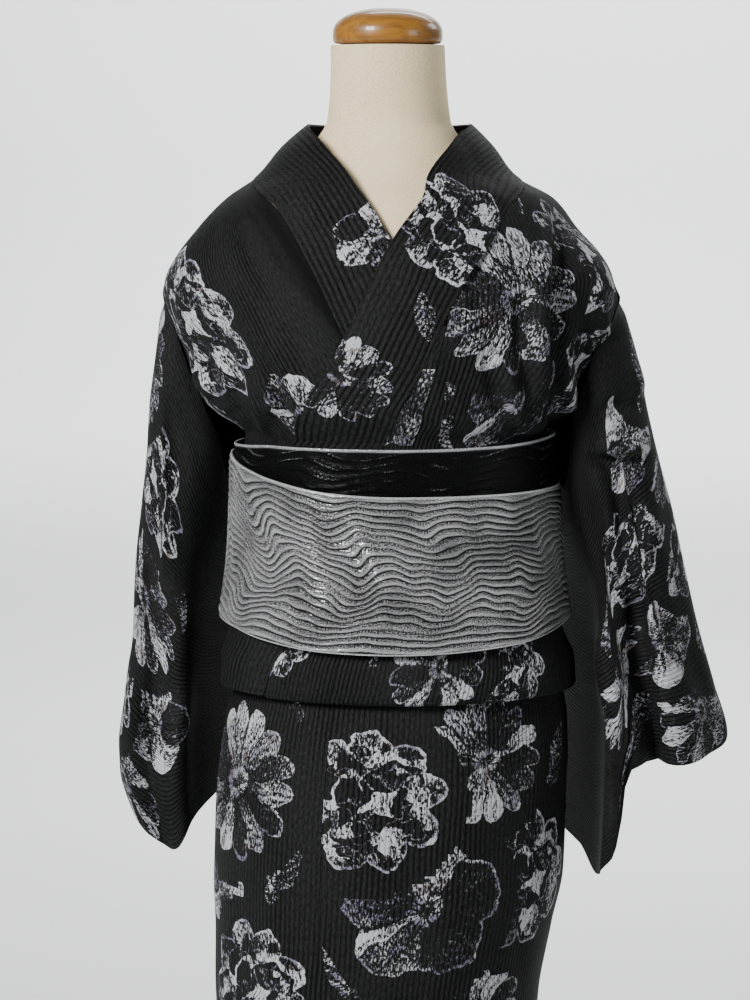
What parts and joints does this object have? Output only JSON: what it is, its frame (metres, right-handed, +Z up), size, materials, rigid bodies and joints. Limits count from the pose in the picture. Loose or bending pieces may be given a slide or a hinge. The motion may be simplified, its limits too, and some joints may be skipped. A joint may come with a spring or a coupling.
{
  "type": "kimono on a dress form",
  "caption": "Kimono worn left over right with a narrow obi, on a limbless dress form with a wooden neck cap, a pole and a round base.",
  "frame": {"origin": "centre of the base's underside, on the floor under the pole", "axes": "+Z up, the garment faces -Y, the wearer's left is +X"},
  "size_m": [0.4903, 0.34, 1.4293],
  "materials": {
    "kimono_cloth": "black crinkled cloth with a pale hatched print",
    "obi_silver": "silver metallic cloth with wave ridges",
    "obi_black": "black quilted cloth with fine glints",
    "form_cover": "cream knitted cover",
    "cap_wood": "clear gloss lacquer",
    "stand_steel": "satin black"
  },
  "bodies": {
    "root": {"bodice_front_right": "kimono_cloth", "bodice_front_left": "kimono_cloth", "okumi_left_upper": "kimono_cloth", "bodice_back_left": "kimono_cloth", "bodice_back_right": "kimono_cloth", "collar": "kimono_cloth", "okumi_left_skirt": "kimono_cloth", "skirt_front_left": "kimono_cloth", "skirt_back_left": "kimono_cloth", "skirt_back_right": "kimono_cloth", "skirt_front_right": "kimono_cloth", "okumi_right_skirt": "kimono_cloth", "sleeve_right": "kimono_cloth", "sleeve_left": "kimono_cloth", "obi_inner_wrap": "obi_black", "obi_outer_wrap": "obi_silver", "obi_end_left": "obi_silver", "obi_end_right": "obi_silver", "obi_knot_band": "obi_silver", "form_torso": "form_cover", "neck_cap": "cap_wood", "pole_socket": "cap_wood", "pole": "stand_steel", "base": "stand_steel"}
  },
  "joints": []
}
